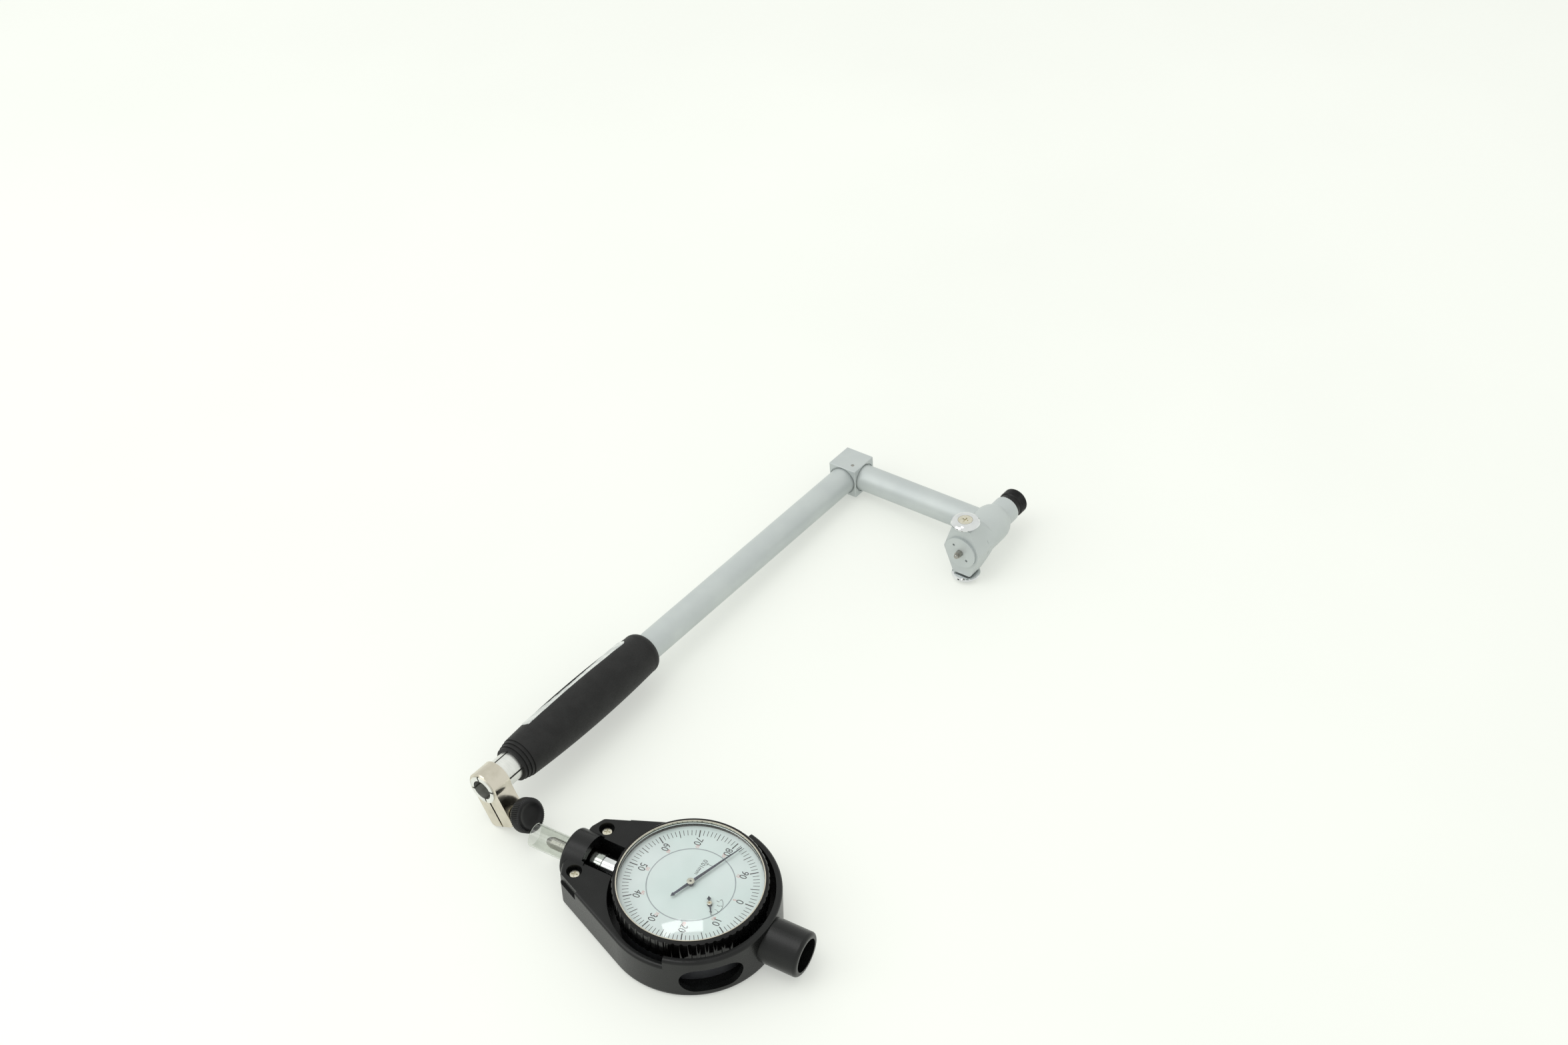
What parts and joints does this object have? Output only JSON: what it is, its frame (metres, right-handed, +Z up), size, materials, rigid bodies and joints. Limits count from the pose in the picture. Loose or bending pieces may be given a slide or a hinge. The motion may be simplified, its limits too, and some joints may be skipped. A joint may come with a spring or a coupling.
{
  "type": "right-angle dial bore gauge",
  "caption": "Right-angle bore gauge with a two-wheel measuring head, split clamp and hand grip; its dial indicator lies beside it in a teardrop guard.",
  "frame": {"origin": "centre of the bottom of the whole layout, on the table", "axes": "+X along the main tube from the clamp to the elbow, +Y away from the measuring head, +Z up"},
  "size_m": [0.2718, 0.1444, 0.0292],
  "materials": {
    "painted_grey": "satin grey paint",
    "bare_aluminium": "turned",
    "nickel_plate": "polished nickel plate",
    "grip_rubber": "fine matte",
    "black_knob": "moulded, knurled",
    "black_oxide": "black oxide, knurled",
    "chrome_plate": "polished",
    "plated_brass": "nickel-plated brass",
    "tool_steel": "ground",
    "brass_parts": "turned",
    "spring_steel": "drawn wire",
    "guard_plastic": "satin moulding",
    "case_metal": "dark enamel",
    "bezel_black": "polished moulding",
    "clear_crystal": "polished acrylic",
    "dial_white": "printed dial",
    "pointer_dark": "blued",
    "clear_tube": "extruded clear plastic",
    "foil_plate": "metallised film"
  },
  "bodies": {
    "gauge_body": {"elbow_block": "painted_grey", "elbow_pivot_pin": "tool_steel", "tube_collar": "painted_grey", "main_tube": "painted_grey", "main_rod_guides": "brass_parts", "grip": "grip_rubber", "grip_plate": "foil_plate", "collet": "bare_aluminium", "clamp_ring": "nickel_plate", "arm_tube": "painted_grey", "arm_rod_guides": "brass_parts", "head_body": "painted_grey", "head_pivot_pin": "tool_steel", "contact_guide": "painted_grey", "wheel_screws": "plated_brass", "rod_return_spring": "spring_steel"},
    "contact": {"contact_plunger": "tool_steel", "contact_tip": "tool_steel"},
    "head_crank": {"head_bell_crank": "tool_steel"},
    "arm_rod": {"arm_push_rod": "tool_steel"},
    "elbow_crank": {"elbow_bell_crank": "tool_steel"},
    "main_rod": {"main_push_rod": "tool_steel"},
    "upper_wheel": {"upper_guide_wheel": "chrome_plate"},
    "lower_wheel": {"lower_guide_wheel": "chrome_plate"},
    "lock_nut": {"anvil_lock_nut": "black_oxide"},
    "clamp_knob": {"clamp_screw": "black_knob"},
    "indicator": {"guard_rear_shell": "guard_plastic", "guard_front_shell": "guard_plastic", "guard_screws": "plated_brass", "indicator_case": "case_metal", "case_back": "case_metal", "stem": "chrome_plate", "spindle_cap": "case_metal", "movement_lower_plate": "brass_parts", "movement_upper_plate": "brass_parts", "movement_pillars": "brass_parts", "hairspring": "spring_steel", "dial_centre": "dial_white", "dial_studs": "brass_parts", "spindle_spring": "spring_steel"},
    "plunger_spindle": {"spindle": "tool_steel", "contact_point": "tool_steel"},
    "rack_arbor": {"rack_pinion": "tool_steel", "rack_wheel": "brass_parts"},
    "centre_arbor": {"centre_pinion": "tool_steel", "main_pointer": "pointer_dark"},
    "counter_arbor": {"take_up_wheel": "brass_parts", "counter_hand": "pointer_dark"},
    "bezel": {"bezel": "bezel_black", "bezel_ring": "chrome_plate", "crystal": "clear_crystal", "dial_ring": "dial_white"},
    "sleeve": {"clear_sleeve": "clear_tube"}
  },
  "joints": [
    {"name": "contact_slide", "type": "slide", "parent": "gauge_body", "child": "contact", "axis": [0.9991, 0, -0.0432], "range_m": [0, 0.00122]},
    {"name": "head_crank_turn", "type": "hinge", "parent": "gauge_body", "child": "head_crank", "pos_m": [0.11165, -0.00302, 0.01376], "axis": [0.043, 0.0928, 0.9948], "range_deg": [-0.5, 23.5]},
    {"name": "arm_rod_slide", "type": "slide", "parent": "gauge_body", "child": "arm_rod", "axis": [-0.004, 0.9957, -0.0928], "range_m": [0, 0.00122]},
    {"name": "elbow_crank_turn", "type": "hinge", "parent": "gauge_body", "child": "elbow_crank", "pos_m": [0.1114, 0.05981, 0.00791], "axis": [0.043, 0.0928, 0.9948], "range_deg": [-0.5, 23.5]},
    {"name": "main_rod_slide", "type": "slide", "parent": "gauge_body", "child": "main_rod", "axis": [-0.9991, 0, 0.0432], "range_m": [0, 0.0012], "stiffness_N_per_m": 400, "springref_m": -0.001, "deforming": ["rod_return_spring"]},
    {"name": "upper_wheel_spin", "type": "hinge", "parent": "gauge_body", "child": "upper_wheel", "pos_m": [0.09829, -0.0048, 0.02757], "axis": [0.043, 0.0928, 0.9948], "continuous": true},
    {"name": "lower_wheel_spin", "type": "hinge", "parent": "gauge_body", "child": "lower_wheel", "pos_m": [0.09717, -0.00722, 0.00171], "axis": [0.043, 0.0928, 0.9948], "continuous": true},
    {"name": "lock_nut_turn", "type": "hinge", "parent": "gauge_body", "child": "lock_nut", "pos_m": [0.13265, -0.00601, 0.01313], "axis": [0.9991, 0, -0.0432], "continuous": true},
    {"name": "clamp_knob_turn", "type": "hinge", "parent": "gauge_body", "child": "clamp_knob", "pos_m": [-0.10989, 0.04737, 0.01054], "axis": [0.0217, -0.8649, 0.5014], "continuous": true},
    {"name": "indicator_lift", "type": "slide", "parent": "gauge_body", "child": "indicator", "axis": [0, 0, 1], "range_m": [0, 0.06]},
    {"name": "spindle_slide", "type": "slide", "parent": "indicator", "child": "plunger_spindle", "axis": [0.1426, -0.9898, 0], "range_m": [0, 0.003], "stiffness_N_per_m": 250, "springref_m": -0.002, "deforming": ["spindle_spring"]},
    {"name": "rack_arbor_turn", "type": "hinge", "parent": "indicator", "child": "rack_arbor", "pos_m": [-0.103, -0.0157, 0.01], "axis": [0, 0, 1], "range_deg": [-1, 109]},
    {"name": "centre_arbor_turn", "type": "hinge", "parent": "indicator", "child": "centre_arbor", "pos_m": [-0.10431, -0.02651, 0.014], "axis": [0, 0, 1], "range_deg": [-1085, 5]},
    {"name": "counter_arbor_turn", "type": "hinge", "parent": "indicator", "child": "counter_arbor", "pos_m": [-0.10714, -0.03702, 0.014], "axis": [0, 0, 1], "range_deg": [-1, 109]},
    {"name": "bezel_turn", "type": "hinge", "parent": "indicator", "child": "bezel", "pos_m": [-0.10431, -0.02651, 0.02], "axis": [0, 0, 1], "continuous": true},
    {"name": "sleeve_slide", "type": "slide", "parent": "indicator", "child": "sleeve", "axis": [0.1426, -0.9898, 0], "range_m": [0, 0.006]}
  ],
  "couplings": [
    {"joint": "head_crank_turn", "follows": "main_rod_slide", "rad_per_m": 333.33},
    {"joint": "arm_rod_slide", "follows": "main_rod_slide", "ratio": 1},
    {"joint": "elbow_crank_turn", "follows": "main_rod_slide", "rad_per_m": 333.33},
    {"joint": "contact_slide", "follows": "main_rod_slide", "ratio": 1},
    {"joint": "rack_arbor_turn", "follows": "spindle_slide", "rad_per_m": 628.32},
    {"joint": "centre_arbor_turn", "follows": "spindle_slide", "rad_per_m": -6283.2},
    {"joint": "counter_arbor_turn", "follows": "spindle_slide", "rad_per_m": 628.32}
  ]
}
